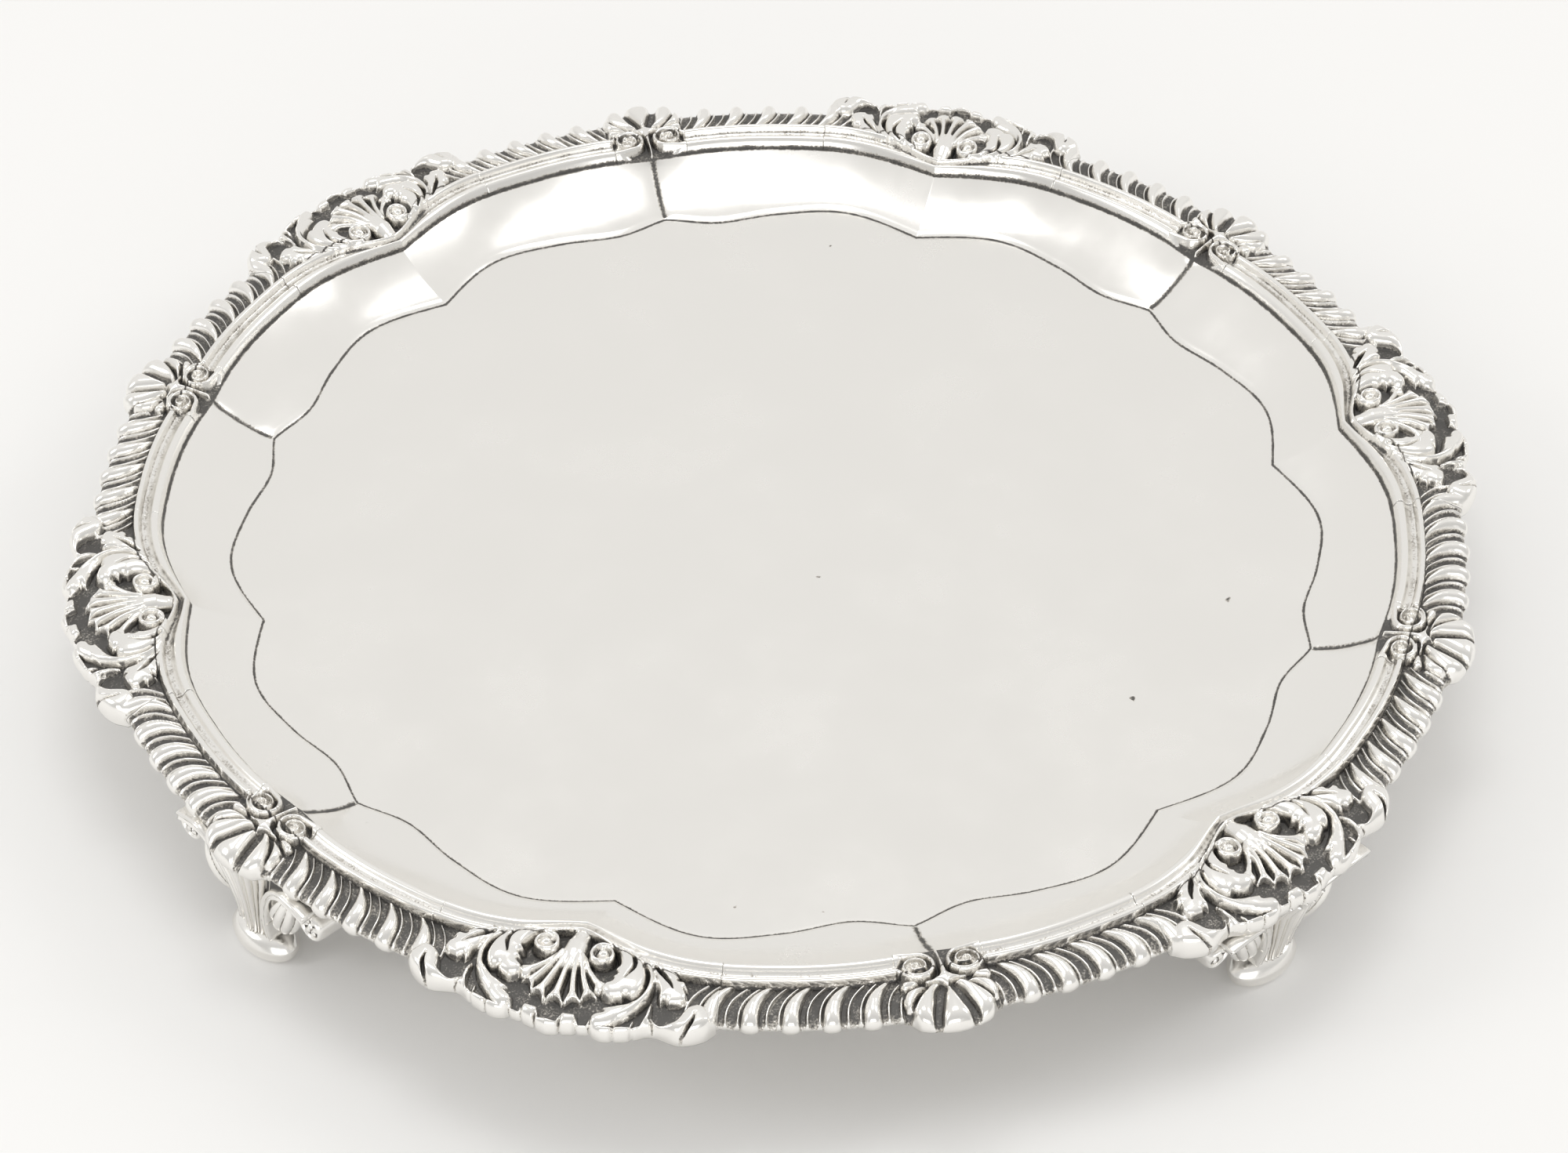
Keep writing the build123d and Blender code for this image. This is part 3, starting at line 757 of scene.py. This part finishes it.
def roll(body, side):
    """Rolled end of a C scroll, with a rosette on its outward face."""
    phi = np.linspace(0, 2 * pi, 72, endpoint=False)
    petal = 0.5 + 0.5 * np.cos(6 * phi)
    rings, shade = [], []
    for rho in (0.05, 0.3, 0.5, 0.65, 0.8, 1.0, 1.3, 1.6, 1.9, 2.15, 2.35, 2.5, 2.6, 2.75, 2.95, 3.15, 3.35,
                3.5):
        button = 0.75 * np.sqrt(np.clip(1 - (rho / 0.72) ** 2, 0, 1))
        leaf = 0.65 * petal ** 0.7 * np.sqrt(np.clip(1 - ((rho - 1.6) / 0.85) ** 2, 0, 1))
        frame_ring = 0.75 * np.sqrt(np.clip(1 - ((rho - 3.05) / 0.5) ** 2, 0, 1))
        lift = np.maximum(np.maximum(button, leaf), frame_ring)
        rings.append((rho, lift))
        shade.append(0.95 * smooth(0.42 - lift, 0, 0.35))
    for rho, lift in ((3.65, -0.3), (ROLL_SIZE, -1.0), (ROLL_SIZE, -3.0), (ROLL_SIZE, -5.0),
                      (ROLL_SIZE, -7.5), (3.4, -SCROLL_DEPTH), (0.05, -SCROLL_DEPTH)):
        rings.append((rho, np.full_like(phi, lift)))
        shade.append(np.full_like(phi, 0.05))
    t, z = ROLL_AT
    face = foot_face(z) - 1.7
    rings = [np.stack([face + lift, side * (t + rho * np.cos(phi)), z + rho * np.sin(phi)], -1)
             for rho, lift in rings]
    body.turned_body(wound(rings, side), wound(shade, side))


def bud(body, side):
    """Twisted fluted bud inside a C scroll."""
    low, high = np.array((8.9, 10.2)), np.array((12.9, 25.2))
    phi = np.linspace(0, 2 * pi, 96, endpoint=False)
    rings, shade = [], []
    for v in np.linspace(0.02, 0.98, 48):
        centre = low + (high - low) * v
        size = np.sqrt(1 - (2 * v - 1) ** 2) * (1 + 0.12 * sin(pi * v))
        flute = np.abs(np.sin(4.0 * phi + 3.4 * v))
        radius = size * (1 - 0.17 + 0.17 * flute)
        rings.append(np.stack([foot_face(centre[1]) - 2.3 + 3.5 * radius * np.sin(phi),
                               side * (centre[0] + 3.7 * radius * np.cos(phi)),
                               np.full_like(phi, centre[1])], -1))
        shade.append(0.8 * smooth(-flute, -0.3, -0.02) + 0.5 * smooth(-size, -0.5, -0.2))
    body.turned_body(wound(rings, side), wound(shade, side))


def shade_backing(body):
    """Panel behind the fan and the scrolls, painted dark all over as the shade seen between them."""
    s, v = np.meshgrid(np.linspace(-1, 1, 25), np.linspace(0, 1, 16))
    z = PAD_TOP - 0.6 + (FOOT_TOP - PAD_TOP + 0.6) * v
    width = np.interp(v, (0, 0.35, 0.6, 0.85, 1), (4.2, 5.0, 7.4, 12.0, 14.5))
    front = np.stack([foot_face(z) - 1.3, s * width, z], -1)
    back = np.stack([foot_face(z) - 4.0, s * width, z], -1)
    body.slab(front, back, np.full(s.shape, 0.9))


def bracket(name, leaning, material):
    """A whole foot bracket; a leaning one stands further out toward the top."""
    body = Shells()
    shade_backing(body)
    fan(body)
    for side in (-1, 1):
        ribbon(body, side)
        roll(body, side)
        bud(body, side)
    points = np.vstack(body.points)
    if leaning:
        points[:, 0] += np.interp(points[:, 2], (0, PAD_TOP, 12, 22, FOOT_TOP), (0, 0.6, 1.2, 2.0, 5.0))
    return add_mesh(name, points, body.faces, np.concatenate(body.shade), material)


def pad(name, material):
    """Oval bun that the foot stands on."""
    half = curve([(0.02, PAD_TOP), (0.5, PAD_TOP - 0.1), (0.8, PAD_TOP - 1.0), (0.96, PAD_TOP - 2.6),
                  (1.0, 3.0), (0.95, 1.2), (0.82, 0.2), (0.7, 0.0), (0.35, 0.0), (0.02, 0.0)], 6)
    phi = np.linspace(0, 2 * pi, 96, endpoint=False)
    rings = [np.stack([PAD_RADIUS + PAD_SIZE[0] * share * np.cos(phi), PAD_SIZE[1] * share * np.sin(phi),
                       np.full_like(phi, max(z, 0))], -1) for share, z in half]
    shade = [np.full_like(phi, 0.75 * smooth(-share, -0.72, -0.5) * (z > 4)) for share, z in half]
    body = Shells()
    body.turned_body(np.array(rings)[:, ::-1], np.array(shade))
    return add_mesh(name, np.vstack(body.points), body.faces, np.concatenate(body.shade), material)


def feet(material):
    upright = bracket("bracket", False, material)
    leaning = bracket("bracket_leaning", True, material)
    bun = pad("bun", material)
    for k in range(4):
        kind = leaning if k % 2 else upright
        place(turned(kind, f"foot_{k + 1}", 90 * k), f"foot_bracket_{k + 1}", "foot_silver")
        place(turned(bun, f"pad_{k + 1}", 90 * k), f"foot_pad_{k + 1}", "foot_silver")


# ---------------------------------------------------------------- stage, light and camera
def stage():
    mesh = bpy.data.meshes.new("floor")
    size = 6.0
    corners = [(-size, -size, 0), (size, -size, 0), (size, size, 0), (-size, size, 0)]
    mesh.from_pydata(corners, [], [[0, 1, 2, 3]])
    floor = bpy.data.objects.new("floor", mesh)
    material = bpy.data.materials.new("floor_paper")
    material.use_nodes = True
    shader = material.node_tree.nodes["Principled BSDF"]
    shader.inputs["Base Color"].default_value = (0.92, 0.915, 0.905, 1)
    shader.inputs["Roughness"].default_value = 0.7
    mesh.materials.append(material)
    bpy.context.scene.collection.objects.link(floor)


def softbox(name, place_at, size, power):
    light = bpy.data.lights.new(name, "AREA")
    light.shape = "RECTANGLE"
    light.size, light.size_y = size
    light.energy = power
    lamp = bpy.data.objects.new(name, light)
    lamp.location = place_at
    lamp.rotation_euler = (Vector((0, 0, 0.03)) - lamp.location).to_track_quat("-Z", "Y").to_euler()
    bpy.context.scene.collection.objects.link(lamp)


def lights():
    world = bpy.data.worlds.new("studio")
    world.use_nodes = True
    nodes, links = world.node_tree.nodes, world.node_tree.links
    where = nodes.new("ShaderNodeTexCoord")
    toward = nodes.new("ShaderNodeVectorMath")
    toward.operation = "DOT_PRODUCT"
    toward.inputs[1].default_value = Vector((0.50, 0.53, 0.68)).normalized()
    links.new(where.outputs["Generated"], toward.inputs[0])
    glow = nodes.new("ShaderNodeMapRange")
    glow.interpolation_type = "SMOOTHSTEP"
    links.new(toward.outputs["Value"], glow.inputs["Value"])
    for key, number in zip(RANGE_SOCKETS, (-0.3, 0.8, 0.62, 0.84)):
        glow.inputs[key].default_value = number
    links.new(glow.outputs["Result"], nodes["Background"].inputs["Strength"])
    nodes["Background"].inputs["Color"].default_value = (1.0, 0.99, 0.97, 1)
    bpy.context.scene.world = world
    bpy.context.scene.view_settings.view_transform = "Standard"
    softbox("overhead", (0.15, 0.25, 1.7), (0.8, 0.6), 4)
    softbox("left", (-1.3, 0.75, 0.9), (0.4, 0.8), 4)
    softbox("right", (1.2, -0.7, 1.1), (0.4, 0.8), 3)
    softbox("front", (-0.9, -1.0, 0.35), (1.4, 0.4), 3)


def camera():
    data = bpy.data.cameras.new("camera")
    data.lens = 98.6
    data.sensor_width = 36
    data.clip_start = 0.01
    view = bpy.data.objects.new("camera", data)
    view_from = Vector((-0.5101, -0.5408, 0.6849))
    target = Vector((-0.00749, -0.00978, 0.0238))
    view.location = view_from
    turn = (target - view_from).to_track_quat("-Z", "Y").to_matrix().to_4x4()
    view.matrix_world = Matrix.Translation(view_from) @ turn @ Matrix.Rotation(radians(0.273), 4, "Z")
    bpy.context.scene.collection.objects.link(view)
    bpy.context.scene.camera = view


sheet_silver = silver("sheet_silver", 0.16, 0.14, 0.8)
border_silver = silver("border_silver", 0.19, 0.08)
foot_silver = silver("foot_silver", 0.19, 0.08)
place(tray(sheet_silver), "tray_plate", "sheet_silver")
leaf_castings(border_silver)
small_shells(border_silver)
strips(border_silver)
feet(foot_silver)
stage()
lights()
camera()
